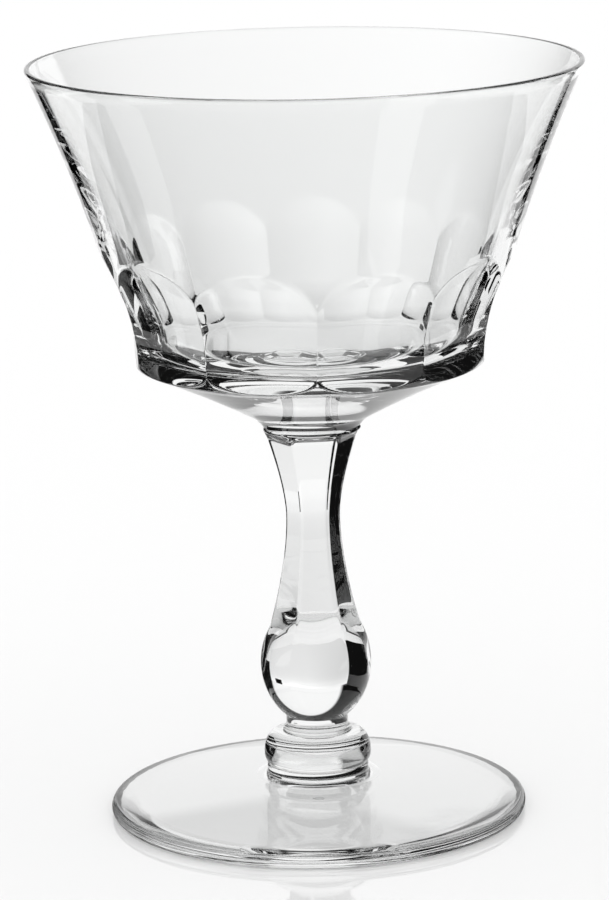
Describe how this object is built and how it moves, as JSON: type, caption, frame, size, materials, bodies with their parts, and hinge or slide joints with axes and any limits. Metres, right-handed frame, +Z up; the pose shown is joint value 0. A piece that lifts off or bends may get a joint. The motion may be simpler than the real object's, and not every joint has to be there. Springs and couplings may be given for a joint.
{
  "type": "sherbet glass",
  "caption": "Tall footed sherbet glass in clear crystal: flared bowl with flat cut panels, six-sided baluster stem and a round foot.",
  "frame": {"origin": "centre of the foot, on the plane that the glass stands on", "axes": "+Z up along the axis of the glass; -Y is the front, which one flat of the stem nearly faces"},
  "size_m": [0.0894, 0.0894, 0.124],
  "materials": {
    "crystal": "clear fire-polished crystal with polished wheel cuts"
  },
  "bodies": {
    "root": {"foot": "crystal", "collar": "crystal", "stem": "crystal", "merese": "crystal", "bowl": "crystal"}
  },
  "joints": []
}
